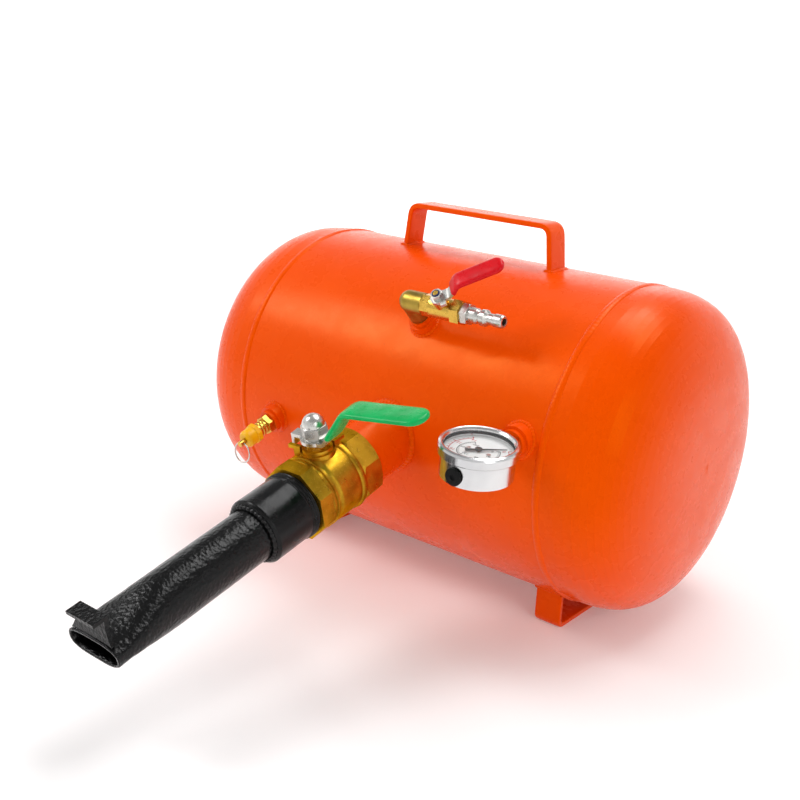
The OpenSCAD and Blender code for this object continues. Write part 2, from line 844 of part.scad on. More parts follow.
// Front and back plates that carry the arbor and the sector, on two pillars
module movement_plates() color(brass) gauge_frame() {
  difference() {
    union() {
      for (z = [-3, 3.5]) translate([0, 0, z]) linear_extrude(1) plate_outline();
      for (side = [-1, 1]) translate([side * screw_x, 0, 0]) rod(1.4, -2.5, 4);
    }
    for (y = [0, sector_y]) translate([0, y, 0]) rod(0.6 + gap, -5, 6);
  }
}

// A flat gear: teeth a full turn would have, and the ones kept at each end
module gear(teeth, first, last, h) {
  pitch = tooth_module * teeth / 2;
  step = 360 / teeth;
  root = pitch - 1.2 * tooth_module;
  tip = pitch + 0.8 * tooth_module;
  linear_extrude(h) polygon(concat([[0, 0]], [for (i = [first:last])
    for (q = [[root, -0.3], [tip, -0.12], [tip, 0.12], [root, 0.3]])
      [q[0] * cos((i + q[1]) * step), q[0] * sin((i + q[1]) * step)]]));
}

module gauge_pointer() color(black) gauge_frame() translate([0, 0, dial_z + 1.1]) difference() {
  union() {
    rotate([0, 0, 45]) linear_extrude(0.5) polygon([
      [-9, -1.4], [0, -1.1], [19, -0.25], [19, 0.25], [0, 1.1], [-9, 1.4]]);
    rod(2.4, 0, 1.2);
  }
  rod(0.6, -1, 2);
}

// Arbor that carries the pointer, with its pinion
module pointer_arbor() color(brass) gauge_frame() {
  rod(0.6, -3, dial_z + 2.1);
  translate([0, 0, 0.2]) rotate([0, 0, 180 / pinion_teeth]) {
    gear(pinion_teeth, 0, pinion_teeth - 1, 1.6);
    rod(pinion_teeth * tooth_module / 2 - 1.2 * tooth_module - 0.02, 0, 1.6);
  }
}

// Toothed sector with the tail that the pressure tube's link pulls
module sector_gear() color(brass) gauge_frame() translate([0, sector_y, 0]) {
  rod(0.6, -3, 4.5);
  rod(1.6, 0.2, 1.8);
  translate([0, 0, 0.6]) rotate([0, 0, 270]) gear(sector_teeth, -11, 3, 0.8);
  translate([0, 0, 0.6]) rotate([0, 0, tail_angle]) translate([0, -0.9, 0]) cube([tail_len, 1.8, 0.8]);
}

// Link from the pressure tube's tip towards the sector's tail
module gauge_link() color(brass) gauge_frame() {
  tip = tube_mean_r * [cos(tip_angle + 2), sin(tip_angle + 2)];
  tail = [tail_len * cos(tail_angle), sector_y + tail_len * sin(tail_angle)];
  run = tail - tip;
  translate([tip[0], tip[1], 0]) {
    rod(0.9, 0, 2.4);
    translate([0, 0, 1.8]) rotate([0, 0, atan2(run[1], run[0])])
      translate([0, -0.7, 0]) cube([norm(run), 1.4, 0.6]);
  }
}

tank_shell();
left_head();
right_head();
girth_welds();
shell_seam_weld();
carry_handle();
left_foot();
right_foot();
bracket_welds();
outlet_stub();
outlet_weld();
inlet_boss();
relief_boss();
gauge_boss();
boss_welds();
valve_end_cap();
valve_body();
ball_seats();
stem_packing();
packing_gland();
valve_ball();
valve_stem();
lever_plate();
lever_grip();
lever_nut();
lever_washer();
barrel_nipple();
barrel_weld();
barrel_tube();
rim_hook();
inlet_elbow();
inlet_valve_body();
inlet_seats();
inlet_gland();
inlet_ball();
inlet_stem();
inlet_lever();
inlet_grip();
inlet_nut();
hose_plug();
relief_body();
relief_cap();
relief_stem();
relief_spring();
relief_ring();
gauge_socket();
gauge_case();
gauge_bezel();
gauge_lens();
gauge_gasket();
gauge_plug();
gauge_dial();
gauge_screws();
bourdon_tube();
movement_plates();
gauge_pointer();
pointer_arbor();
sector_gear();
gauge_link();
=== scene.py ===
"""Looks for the portable air tank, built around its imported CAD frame. Metres, +Z up."""

import json
import math

import bmesh
import bpy
from mathutils import Matrix, Vector, noise


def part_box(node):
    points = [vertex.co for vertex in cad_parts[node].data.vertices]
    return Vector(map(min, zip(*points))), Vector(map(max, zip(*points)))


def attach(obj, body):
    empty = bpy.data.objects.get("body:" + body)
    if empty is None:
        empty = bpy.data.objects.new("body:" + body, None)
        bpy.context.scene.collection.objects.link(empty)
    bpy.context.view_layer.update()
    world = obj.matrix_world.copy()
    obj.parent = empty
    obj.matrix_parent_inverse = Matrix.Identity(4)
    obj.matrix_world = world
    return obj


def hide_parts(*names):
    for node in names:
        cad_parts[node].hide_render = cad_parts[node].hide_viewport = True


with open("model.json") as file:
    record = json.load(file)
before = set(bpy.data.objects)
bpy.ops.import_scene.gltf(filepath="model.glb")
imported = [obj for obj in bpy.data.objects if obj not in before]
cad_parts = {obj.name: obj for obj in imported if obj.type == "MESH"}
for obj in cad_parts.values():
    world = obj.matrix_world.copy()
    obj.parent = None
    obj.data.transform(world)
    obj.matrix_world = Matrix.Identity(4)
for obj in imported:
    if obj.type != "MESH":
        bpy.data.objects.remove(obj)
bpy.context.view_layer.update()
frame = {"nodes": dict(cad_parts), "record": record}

MM = 0.001
NODES = frame["nodes"]

# ---- the CAD's own frames ----

# The tank's radius in millimetres
RADIUS = 123
TANK_R = RADIUS * MM
SEAM_X = 144 * MM
shell_lo, shell_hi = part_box("tank_shell")
TANK_Y = (shell_lo[1] + shell_hi[1]) / 2
TANK_Z = (shell_lo[2] + shell_hi[2]) / 2

# Where the barrel leaves the tank, in millimetres, and how far it droops, in degrees
BARREL_X, BARREL_Z, BARREL_DROOP = 11, 1, 15
# How far the levers and the dial stand turned at rest, in degrees
MAIN_TURN, FILL_TURN, DIAL_TURN = 5, 38, -4
# How far the ball valve's stem and the gauge's middle stand off the tank, in millimetres
STEM_OUT, DIAL_OUT = 70, 48
# The fill valve's stem, along its body and off the tank
FILL_ALONG, FILL_OUT = 32, 27.5


def at(x, y, z):
    """A point given in millimetres from the tank's middle."""
    return Vector((x * MM, y * MM + TANK_Y, z * MM + TANK_Z))


def fitting(x, angle, up):
    """A fitting's frame, angle up the tank's front: its Z leaves the tank, its Y points up."""
    a = math.radians(angle)
    spot = at(x, -RADIUS * math.cos(a), RADIUS * math.sin(a))
    return Matrix.Translation(spot) @ Matrix.Rotation(math.radians(90 - up), 4, "X")


def turned(place, angle, axis):
    return place @ Matrix.Rotation(math.radians(angle), 4, axis)


def moved(place, x, y, z):
    return place @ Matrix.Translation((x * MM, y * MM, z * MM))


BARREL = turned(Matrix.Translation(at(BARREL_X, -RADIUS, BARREL_Z)), 90 + BARREL_DROOP, "X")
STEM = turned(turned(moved(BARREL, 0, 0, STEM_OUT), -90, "X"), MAIN_TURN, "Z")
INLET = fitting(16, 43, 46)
FILL_STEM = turned(moved(INLET, FILL_ALONG, 0, FILL_OUT), FILL_TURN, "Z")
RELIEF = fitting(-106, -6, -20)
GAUGE_STEM = fitting(125, 13, -4)
GAUGE = turned(turned(moved(GAUGE_STEM, 0, 0, DIAL_OUT), DIAL_TURN, "Z"), -90, "X")

# ---- materials ----


class Paint:
    """A Principled material with helpers for the usual procedural layers."""

    def __init__(self, name, color, rough, metal=0.0, **sockets):
        self.mat = bpy.data.materials.new(name)
        self.mat.use_nodes = True
        self.nodes = self.mat.node_tree.nodes
        self.links = self.mat.node_tree.links
        self.bsdf = self.nodes["Principled BSDF"]
        self.bsdf.inputs["Base Color"].default_value = (*color, 1)
        self.bsdf.inputs["Roughness"].default_value = rough
        self.bsdf.inputs["Metallic"].default_value = metal
        for key, value in sockets.items():
            self.bsdf.inputs[key.replace("_", " ")].default_value = value
        self.coord = self.add("ShaderNodeTexCoord").outputs["Object"]
        self.color = color
        self.height = None

    def add(self, kind, **props):
        node = self.nodes.new(kind)
        for key, value in props.items():
            setattr(node, key, value)
        return node

    def mapped(self, scale):
        node = self.add("ShaderNodeMapping")
        node.inputs["Scale"].default_value = scale
        self.links.new(self.coord, node.inputs["Vector"])
        return node.outputs["Vector"]

    def noise(self, scale, detail, stretch=None):
        node = self.add("ShaderNodeTexNoise")
        node.inputs["Scale"].default_value = scale
        node.inputs["Detail"].default_value = detail
        node.inputs["Roughness"].default_value = 0.55
        self.links.new(self.mapped(stretch) if stretch else self.coord, node.inputs["Vector"])
        return node.outputs["Fac"]

    def cells(self, scale):
        node = self.add("ShaderNodeTexVoronoi", feature="SMOOTH_F1")
        node.inputs["Scale"].default_value = scale
        self.links.new(self.coord, node.inputs["Vector"])
        return node.outputs["Distance"]

    def ramp(self, value, low, high, out_low=0.0, out_high=1.0):
        node = self.add("ShaderNodeMapRange", clamp=True)
        node.inputs["From Min"].default_value = low
        node.inputs["From Max"].default_value = high
        node.inputs["To Min"].default_value = out_low
        node.inputs["To Max"].default_value = out_high
        self.links.new(value, node.inputs["Value"])
        return node.outputs["Result"]

    def tint(self, value, other):
        """Blends the base colour towards another one where value is high."""
        node = self.add("ShaderNodeMix", data_type="RGBA")
        node.inputs["A"].default_value = (*self.color, 1)
        socket = self.bsdf.inputs["Base Color"]
        if socket.is_linked:
            self.links.new(socket.links[0].from_socket, node.inputs["A"])
        node.inputs["B"].default_value = (*other, 1)
        self.links.new(value, node.inputs["Factor"])
        self.links.new(node.outputs["Result"], socket)

    def rough(self, value, low, high):
        """Lets the roughness wander between low and high with a noise."""
        self.links.new(self.ramp(value, 0.3, 0.7, low, high), self.bsdf.inputs["Roughness"])
        return self

    def bump(self, value, depth):
        node = self.add("ShaderNodeBump")
        node.inputs["Distance"].default_value = depth
        node.inputs["Strength"].default_value = 1.0
        self.links.new(value, node.inputs["Height"])
        if self.height:
            self.links.new(self.height, node.inputs["Normal"])
        self.height = node.outputs["Normal"]
        self.links.new(self.height, self.bsdf.inputs["Normal"])
        return self


def orange_enamel():
    """The tank's enamel. Its orange reflections keep it from paling under white light."""
    p = Paint("orange_enamel", (0.84, 0.074, 0.0001), 0.38, Specular_IOR_Level=0.36,
              Specular_Tint=(1.0, 0.40, 0.01, 1))
    p.tint(p.ramp(p.noise(9, 4), 0.35, 0.75), (0.80, 0.062, 0.0001))
    p.tint(p.ramp(p.noise(420, 2), 0.70, 0.78, 0, 0.35), (0.60, 0.030, 0.001))
    p.rough(p.noise(60, 4), 0.22, 0.34)
    p.bump(p.noise(230, 3), 0.00006)
    return p.bump(p.noise(34, 2), 0.0001)


def cast_brass():
    p = Paint("cast_brass", (0.56, 0.31, 0.022), 0.34, 1.0, Specular_Tint=(0.9, 0.6, 0.2, 1))
    p.tint(p.ramp(p.noise(70, 5), 0.42, 0.75), (0.30, 0.15, 0.008))
    p.tint(p.ramp(p.noise(900, 2), 0.58, 0.75, 0, 0.5), (0.80, 0.52, 0.09))
    p.rough(p.noise(160, 4), 0.26, 0.46)
    return p.bump(p.noise(520, 3), 0.00009)


def turned_brass():
    p = Paint("turned_brass", (0.66, 0.41, 0.075), 0.22, 1.0)
    p.tint(p.ramp(p.noise(110, 4), 0.5, 0.8), (0.50, 0.28, 0.04))
    p.rough(p.noise(300, 3), 0.16, 0.32)
    return p.bump(p.noise(1500, 2), 0.00002)


def olive_brass():
    """The elbow's brass, duller than the valves', painted darker and greener: painted shade, the tone
    brass takes in shadow.
    """
    p = Paint("olive_brass", (0.40, 0.27, 0.05), 0.38, 1.0)
    p.tint(p.ramp(p.noise(90, 4), 0.45, 0.8), (0.24, 0.15, 0.025))
    p.rough(p.noise(220, 3), 0.28, 0.46)
    return p.bump(p.noise(620, 3), 0.00007)


def black_coat():
    """Black enamel over rough tube: pitted and hammered, with a wet gloss."""
    p = Paint("black_coat", (0.002, 0.002, 0.0022), 0.2, Specular_IOR_Level=0.25, Coat_Weight=0.02,
              Coat_Roughness=0.1)
    p.tint(p.ramp(p.noise(300, 3), 0.62, 0.8), (0.005, 0.005, 0.006))
    p.rough(p.noise(130, 4), 0.12, 0.24)
    p.bump(p.cells(420), 0.00035)
    return p.bump(p.noise(520, 3), 0.00035)


def black_pipe():
    p = Paint("black_pipe", (0.002, 0.002, 0.0022), 0.2, Specular_IOR_Level=0.22, Coat_Weight=0.02,
              Coat_Roughness=0.12)
    p.tint(p.ramp(p.noise(240, 3), 0.6, 0.8), (0.007, 0.007, 0.008))
    p.rough(p.noise(120, 4), 0.14, 0.3)
    p.bump(p.noise(60, 2), 0.0003)
    return p.bump(p.noise(420, 3), 0.0001)


def zinc():
    p = Paint("zinc", (0.64, 0.63, 0.60), 0.3, 1.0)
    p.tint(p.ramp(p.noise(60, 3), 0.4, 0.8), (0.52, 0.51, 0.48))
    p.rough(p.noise(200, 3), 0.24, 0.34)
    return p.bump(p.noise(900, 2), 0.00001)


def stainless():
    p = Paint("stainless", (0.72, 0.72, 0.72), 0.2, 1.0)
    p.tint(p.ramp(p.noise(30, 3), 0.4, 0.7), (0.58, 0.58, 0.59))
    p.rough(p.noise(1200, 2, stretch=(1, 1, 0.05)), 0.14, 0.26)
    return p.bump(p.noise(2400, 2, stretch=(0.06, 0.06, 1)), 0.000008)


def chrome():
    p = Paint("chrome_ball", (0.8, 0.8, 0.8), 0.06, 1.0)
    return p.rough(p.noise(200, 2), 0.04, 0.1)


def vinyl(name, color, dark):
    p = Paint(name, color, 0.28, Specular_IOR_Level=0.2, Coat_Weight=0.03, Coat_Roughness=0.12)
    p.tint(p.ramp(p.noise(50, 3), 0.45, 0.75), dark)
    p.rough(p.noise(180, 3), 0.22, 0.36)
    return p.bump(p.noise(190, 2), 0.00008)


def plastic(name, color, dark, rough, shine=0.3):
    p = Paint(name, color, rough, Specular_IOR_Level=shine)
    p.tint(p.ramp(p.noise(90, 3), 0.4, 0.75), dark)
    p.rough(p.noise(400, 3), rough - 0.06, rough + 0.08)
    return p.bump(p.noise(900, 2), 0.00002)


def clear_lens():
    p = Paint("clear_lens", (0.96, 0.98, 1.0), 0.02, Alpha=0.05, IOR=1.49, Specular_IOR_Level=0.4)
    return p.rough(p.noise(60, 2), 0.015, 0.04)


RUBBER, RUBBER_WORN = (0.004, 0.004, 0.004), (0.012, 0.012, 0.012)
INK, INK_WORN = (0.003, 0.003, 0.003), (0.01, 0.01, 0.01)

# The looks of the record's material slots
SLOTS = {
    "orange_enamel": orange_enamel().mat,
    "brass": turned_brass().mat,
    "black_powder_coat": black_pipe().mat,
    "white_seal": plastic("white_seal", (0.82, 0.82, 0.78), (0.7, 0.7, 0.66), 0.4).mat,
    "chromed_ball": chrome().mat,
    "zinc_plate": zinc().mat,
    "green_vinyl": vinyl("green_vinyl", (0.002, 0.42, 0.10), (0.002, 0.32, 0.07)).mat,
    "red_vinyl": vinyl("red_vinyl", (0.66, 0.002, 0.008), (0.50, 0.002, 0.006)).mat,
    "yellow_plastic": plastic("yellow_plastic", (0.92, 0.50, 0.003), (0.84, 0.42, 0.002), 0.3).mat,
    "stainless": stainless().mat,
    "clear_lens": clear_lens().mat,
    "black_rubber": plastic("black_rubber", RUBBER, RUBBER_WORN, 0.5, 0.12).mat,
    "white_dial": plastic("white_dial", (0.86, 0.86, 0.85), (0.8, 0.8, 0.79), 0.45).mat,
    "black_pointer": plastic("black_pointer", INK, INK_WORN, 0.4, 0.1).mat,
}
# Looks that set a few pieces apart from the rest of their slot
CAST = cast_brass().mat
# The elbow gets a darker, greener copy of the brass: painted shade
SHADED_BRASS = olive_brass().mat
HAMMERED = black_coat().mat
BLUE_NYLON = plastic("blue_nylon", (0.008, 0.016, 0.10), (0.005, 0.010, 0.06), 0.4).mat
RED_PRINT = plastic("red_print", (0.58, 0.004, 0.004), (0.44, 0.003, 0.003), 0.45, 0.1).mat
BLACK_PRINT = plastic("black_print", (0.004, 0.004, 0.005), (0.012, 0.012, 0.012), 0.45, 0.1).mat

for row in frame["record"]["subparts"]:
    NODES[row["node"]].material_slots[0].material = SLOTS[row["material_slot"]]
APART = {"valve_body": CAST, "valve_end_cap": CAST, "rim_hook": HAMMERED, "inlet_elbow": SHADED_BRASS}
for name, material in APART.items():
    NODES[name].material_slots[0].material = material


def soften(name, width):
    """Rounds a CAD node's sharp edges with modifiers, its mesh unchanged."""
    node = NODES[name]
    weld = node.modifiers.new("weld", "WELD")
    weld.merge_threshold = 0.002 * MM
    flat = node.modifiers.new("flat", "DECIMATE")
    flat.decimate_type = "DISSOLVE"
    flat.angle_limit = math.radians(0.6)
    round_ = node.modifiers.new("round", "BEVEL")
    round_.width = width
    round_.segments = 2
    round_.limit_method = "ANGLE"
    round_.angle_limit = math.radians(32)
    round_.use_clamp_overlap = True
    even = node.modifiers.new("even", "WEIGHTED_NORMAL")
    even.keep_sharp = False


# The rounding of each node's edges, in millimetres
SOFT = {
    "valve_body": 0.7, "valve_end_cap": 0.8, "packing_gland": 0.25, "lever_nut": 0.4,
    "lever_plate": 0.4, "lever_washer": 0.25, "rim_hook": 0.6, "inlet_valve_body": 0.3,
    "inlet_elbow": 0.2, "hose_plug": 0.2, "inlet_nut": 0.2, "inlet_lever": 0.3, "relief_body": 0.2,
    "relief_cap": 0.4, "gauge_socket": 0.3, "gauge_plug": 0.3, "barrel_nipple": 0.5,
}
for name, width in SOFT.items():
    soften(name, width * MM)

# ---- mesh helpers ----


def piece(name, shape, slot, sharp, body="tank", nodes=(), material=None):
    """A new smooth piece that rides on a body and stands for CAD nodes.

    Edges bent by more than sharp degrees stay crisp. material is the slot's own unless given.
    """
    mesh = bpy.data.meshes.new(name)
    mesh.from_pydata([tuple(v) for v in shape.verts], [], shape.faces)
    bm = bmesh.new()
    bm.from_mesh(mesh)
    bmesh.ops.recalc_face_normals(bm, faces=bm.faces)
    for face in bm.faces:
        face.smooth = True
    for edge in bm.edges:
        if len(edge.link_faces) == 2 and edge.calc_face_angle(0) > math.radians(sharp):
            edge.smooth = False
    bm.to_mesh(mesh)
    bm.free()
    obj = bpy.data.objects.new(name, mesh)
    bpy.context.scene.collection.objects.link(obj)
    mesh.materials.append(material or SLOTS[slot])
    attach(obj, body)
    if nodes:
        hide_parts(*nodes)


class Mesh:
    """Vertices and faces gathered from several closed shapes."""

    def __init__(self):
        self.verts = []
        self.faces = []

    def rings(self, rings, closed=False):
        """Joins rings of equal length into a tube, capped unless it closes on itself."""
        base = len(self.verts)
        n = len(rings[0])
        count = len(rings)
        for ring in rings:
            self.verts.extend(ring)
        for i in range(count if closed else count - 1):
            a = base + i * n
            b = base + (i + 1) % count * n
            for k in range(n):
                m = (k + 1) % n
                self.faces.append((a + k, a + m, b + m, b + k))
        if not closed:
            self.faces.append(tuple(base + k for k in range(n)))
            self.faces.append(tuple(base + (count - 1) * n + k for k in range(n)))


def oval_point(angle, half_w, half_h, power):
    """A point of a superellipse, round at power 2 and boxy above it."""
    c, s = math.cos(angle), math.sin(angle)
    x = half_w * math.copysign(abs(c) ** (2 / power), c)
    y = half_h * math.copysign(abs(s) ** (2 / power), s)
    return x, y


def smooth(u):
    """Eases from 0 to 1, and stays there outside that range."""
    u = min(max(u, 0), 1)
    return u * u * (3 - 2 * u)


def ring_angles(n):
    return [2 * math.pi * k / n for k in range(n)]


def around(place, radius, height, a):
    """A point on a circle round a frame's Z axis, its radius and height in millimetres."""
    return place @ (Vector((radius * math.cos(a), radius * math.sin(a), height)) * MM)


def corner(path, i, reach):
    """A corner of a path rounded over reach on each side."""
    steps = 8
    here = path[i]
    a = here + (path[i - 1] - here).normalized() * reach
    b = here + (path[i + 1] - here).normalized() * reach
    points = []
    for k in range(steps + 1):
        u = k / steps
        points.append(a * (1 - u) ** 2 + here * (2 * u * (1 - u)) + b * u * u)
    return points


def rounded(points, reach):
    """The line through the points, every corner rounded."""
    path = [points[0]]
    for i in range(1, len(points) - 1):
        path.extend(corner(points, i, reach))
    path.append(points[-1])
    return path


def dense(path, step):
    """The same path with points no further apart than step."""
    out = [path[0]]
    for a, b in zip(path, path[1:]):
        n = max(1, math.ceil((b - a).length / step))
        out.extend(a.lerp(b, k / n) for k in range(1, n + 1))
    return out


# The least share of its width and thickness that a rounded end keeps
TIP_WIDTH, TIP_THICK = 0.05, 0.12
# How fine the unevenness of dipped vinyl and of a weld is, per metre
WAVE_GRAIN, BEAD_GRAIN = 120, 160


def strap(mesh, path, side, width, thick, power, n, nose=(0, 0), wave=0.0):
    """A bar with rounded edges along a path. nose rounds each end over that length."""
    total = sum((b - a).length for a, b in zip(path, path[1:]))
    run = 0.0
    rings = []
    for i, p in enumerate(path):
        if i:
            run += (p - path[i - 1]).length
        ahead = (path[min(i + 1, len(path) - 1)] - path[max(i - 1, 0)]).normalized()
        up = side.cross(ahead).normalized()
        scale_w = scale_t = 1.0
        for reach, left in ((nose[0], run), (nose[1], total - run)):
            if reach and left < reach:
                q = 1 - max(left, 0) / reach
                scale_w = min(scale_w, max(math.sqrt(max(1 - q ** 2, 0)), TIP_WIDTH))
                scale_t = min(scale_t, max(math.sqrt(max(1 - q ** 6, 0)), TIP_THICK))
        ring = []
        for a in ring_angles(n):
            x, y = oval_point(a, width / 2 * scale_w, thick / 2 * scale_t, power)
            v = p + side * x + up * y
            if wave:
                v += up * (y / thick) * wave * noise.noise(v * WAVE_GRAIN)
            ring.append(v)
        rings.append(ring)
    mesh.rings(rings)


def bead(mesh, path, radius, normals, ripple=0.10, pitch=2.2 * MM, n=10):
    """A weld bead round a closed path: a low tube with the ripples of its passes."""
    squash = 0.8
    count = len(path)
    rings = []
    run = 0.0
    for i, p in enumerate(path):
        ahead = (path[(i + 1) % count] - path[i - 1]).normalized()
        up = normals[i].normalized()
        side = ahead.cross(up).normalized()
        run += (p - path[i - 1]).length
        wobble = math.sin(2 * math.pi * run / pitch) + 0.5 * noise.noise(p * BEAD_GRAIN)
        wide = radius * (1 + ripple * wobble)
        tall = wide * squash
        rings.append([p + side * (wide * math.cos(a)) + up * (tall * math.sin(a))
                      for a in ring_angles(n)])
    mesh.rings(rings, closed=True)


def tank_loop(place, radius, steps=160):
    """Where a round fitting meets the tank, with the directions halfway out."""
    axis = (place.to_3x3() @ Vector((0, 0, 1))).normalized()
    path, normals = [], []
    for a in ring_angles(steps):
        out = place.to_3x3() @ Vector((math.cos(a), math.sin(a), 0))
        p = place.translation + out * radius
        # Slide along the fitting's axis until the point lies on the tank
        rel = Vector((0, p.y - TANK_Y, p.z - TANK_Z))
        d = Vector((0, axis.y, axis.z))
        qa, qb, qc = d.dot(d), 2 * rel.dot(d), rel.dot(rel) - TANK_R ** 2
        p = p + axis * ((-qb + math.sqrt(qb * qb - 4 * qa * qc)) / (2 * qa))
        skin = Vector((0, p.y - TANK_Y, p.z - TANK_Z)).normalized()
        path.append(p)
        normals.append(skin + out)
    return path, normals


def skin_loop(cx, cy, half_x, half_y, top):
    """A rectangle projected onto the top (1) or the bottom (-1) of the tank."""
    steps = 30
    corners = [(-half_x, -half_y), (half_x, -half_y), (half_x, half_y), (-half_x, half_y)]
    path, normals = [], []
    for i, (ax, ay) in enumerate(corners):
        bx, by = corners[(i + 1) % 4]
        for k in range(steps):
            u = k / steps
            x, y = cx + ax + (bx - ax) * u, cy + ay + (by - ay) * u
            z = math.sqrt(TANK_R ** 2 - y * y) * top
            out = Vector((x - cx, y - cy, 0)).normalized()
            path.append(Vector((x, y + TANK_Y, z + TANK_Z)))
            normals.append(Vector((0, y, z)).normalized() + out)
    return path, normals


# ---- tank: welds, handle and feet, in millimetres ----

HANDLE_TOP, HANDLE_LOW, HANDLE_HALF, HANDLE_END = 158, 121.5, 68.5, 70.3
HANDLE_T, HANDLE_W, HANDLE_BEND = 4.5, 21, 8
HANDLE_LEAN = math.radians(6.5)
FOOT_X, FOOT_Y, FOOT_BASE = 127.6, 60.0, -135.5
FOOT_T, FOOT_W, FOOT_BEND = 4.0, 22, 5.5
STRAP_POWER, STRAP_SIDES = 9, 56
# Half the sides of the fillets' loops round the ends of the handle and of the feet
HANDLE_LOOP, FOOT_LOOP = (2.9 * MM, 10.9 * MM), (11.2 * MM, 2.4 * MM)


def girth_beads():
    """The low, uneven beads where the heads meet the shell."""
    girth = Mesh()
    steps, points = 720, 12
    sunk, height, half_width = 0.9, 1.9, 3.1
    for x in (-SEAM_X, SEAM_X):
        rings = []
        for i, a in enumerate(ring_angles(steps)):
            out = Vector((0, math.cos(a), math.sin(a)))
            base = Vector((x, TANK_Y, TANK_Z)) + out * (TANK_R - sunk * MM)
            tall = (height + 0.10 * math.sin(i * 1.9) + 0.35 * noise.noise(base * 60)) * MM
            wide = (half_width + 0.5 * noise.noise(base * 45 + Vector((5, 0, 0)))) * MM
            ring = []
            for k in range(points):
                b = math.pi * k / (points - 1)
                ring.append(base + out * tall * math.sin(b) ** 0.8 + Vector((wide * math.cos(b), 0, 0)))
            rings.append(ring)
        girth.rings(rings, closed=True)
    piece("girth_beads", girth, "orange_enamel", 80, nodes=["girth_welds"])


def handle_strap():
    """The carrying handle, its legs leaning outwards to the tank."""
    x = HANDLE_HALF - HANDLE_T / 2
    z = HANDLE_TOP - HANDLE_T / 2
    foot_x = x + (z - HANDLE_LOW) * math.tan(HANDLE_LEAN)
    points = [at(-foot_x, 0, HANDLE_LOW), at(-x, 0, z), at(x, 0, z), at(foot_x, 0, HANDLE_LOW)]
    path = dense(rounded(points, HANDLE_BEND * MM), 4 * MM)
    handle = Mesh()
    strap(handle, path, Vector((0, 1, 0)), HANDLE_W * MM, HANDLE_T * MM, STRAP_POWER, STRAP_SIDES)
    piece("handle_strap", handle, "orange_enamel", 60, nodes=["carry_handle"])


def foot_strap(name, x):
    """A foot: a strap bent up at both sides until it sinks into the tank."""
    top = -math.sqrt(RADIUS ** 2 - FOOT_Y ** 2) + 1.2
    low = FOOT_BASE + FOOT_T / 2
    points = [at(x, -FOOT_Y, top), at(x, -FOOT_Y, low), at(x, FOOT_Y, low), at(x, FOOT_Y, top)]
    path = dense(rounded(points, FOOT_BEND * MM), 4 * MM)
    foot = Mesh()
    strap(foot, path, Vector((1, 0, 0)), FOOT_W * MM, FOOT_T * MM, STRAP_POWER, STRAP_SIDES)
    piece(name + "_strap", foot, "orange_enamel", 60, nodes=[name])


def bracket_beads():
    """The fillets round the ends of the handle and of the feet."""
    brackets = Mesh()
    radius = 1.5 * MM
    for sign in (-1, 1):
        path, normals = skin_loop(sign * HANDLE_END * MM, 0, *HANDLE_LOOP, 1)
        bead(brackets, path, radius, normals)
        for side in (-1, 1):
            path, normals = skin_loop(sign * FOOT_X * MM, side * FOOT_Y * MM, *FOOT_LOOP, -1)
            bead(brackets, path, radius, normals)
    piece("bracket_beads", brackets, "orange_enamel", 80, nodes=["bracket_welds"])


def boss_beads():
    """The fillets round the three threaded bosses."""
    bosses = Mesh()
    for place, radius in ((INLET, 10.6), (RELIEF, 11.6), (GAUGE_STEM, 12.1)):
        path, normals = tank_loop(place, radius * MM)
        bead(bosses, path, 1.7 * MM, normals, ripple=0.12)
    piece("boss_beads", bosses, "orange_enamel", 80, nodes=["boss_welds"])


def outlet_bead():
    """The large fillet round the outlet stub."""
    outlet = Mesh()
    path, normals = tank_loop(BARREL, 24.4 * MM, steps=260)
    bead(outlet, path, 3.0 * MM, normals, pitch=3.0 * MM, n=12)
    piece("outlet_bead", outlet, "orange_enamel", 80, nodes=["outlet_weld"])


girth_beads()
handle_strap()
foot_strap("left_foot", -FOOT_X)
foot_strap("right_foot", FOOT_X)
bracket_beads()
boss_beads()
outlet_bead()

# ---- barrel, its stations in millimetres from the tank ----

TUBE_R, TUBE_WALL, TUBE_FROM = 19.05, 2.0, 132
FLAT_FROM, MOUTH_S = 214.0, 274.0
MOUTH_HALF_W, MOUTH_HALF_H, MOUTH_RISE = 24.0, 8.5, 1.5


def barrel_ring(s, inset):
    """The tube's section at station s: round, then flattened towards the mouth."""
    u = smooth((s - FLAT_FROM) / (MOUTH_S - FLAT_FROM - 4))
    half_w = TUBE_R + (MOUTH_HALF_W - TUBE_R) * u - inset
    half_h = TUBE_R + (MOUTH_HALF_H - TUBE_R) * u - inset
    rise = MOUTH_RISE * u
    ring = []
    for a in ring_angles(96):
        x, y = oval_point(a, half_w, half_h, 2 + 0.9 * u)
        v = Vector((x, y + rise, s))
        # Tube that has been hammered flat keeps shallow dents
        dent = 0.22 * noise.noise(v * 0.21) + 0.10 * noise.noise(v * 0.6)
        scale = 1 + dent * (0.5 + u) / TUBE_R
        ring.append(BARREL @ (Vector((x * scale, y * scale + rise, s)) * MM))
    return ring


def flattened_tube():
    """The tube's outside, its rounded lip, and its inside back to the start."""
    lip = MOUTH_S - 0.8
    outside = [TUBE_FROM + 1.5 * i for i in range(95)] + [lip]
    inside = [lip, *range(268, 213, -6), 200, 170, TUBE_FROM]
    rings = [barrel_ring(s, 0) for s in outside]
    rings += [barrel_ring(MOUTH_S, inset) for inset in (0.5, 1.5)]
    rings += [barrel_ring(s, TUBE_WALL) for s in inside]
    tube = Mesh()
    tube.rings(rings, closed=True)
    piece("flattened_tube", tube, "black_powder_coat", 60, nodes=["barrel_tube"], material=HAMMERED)


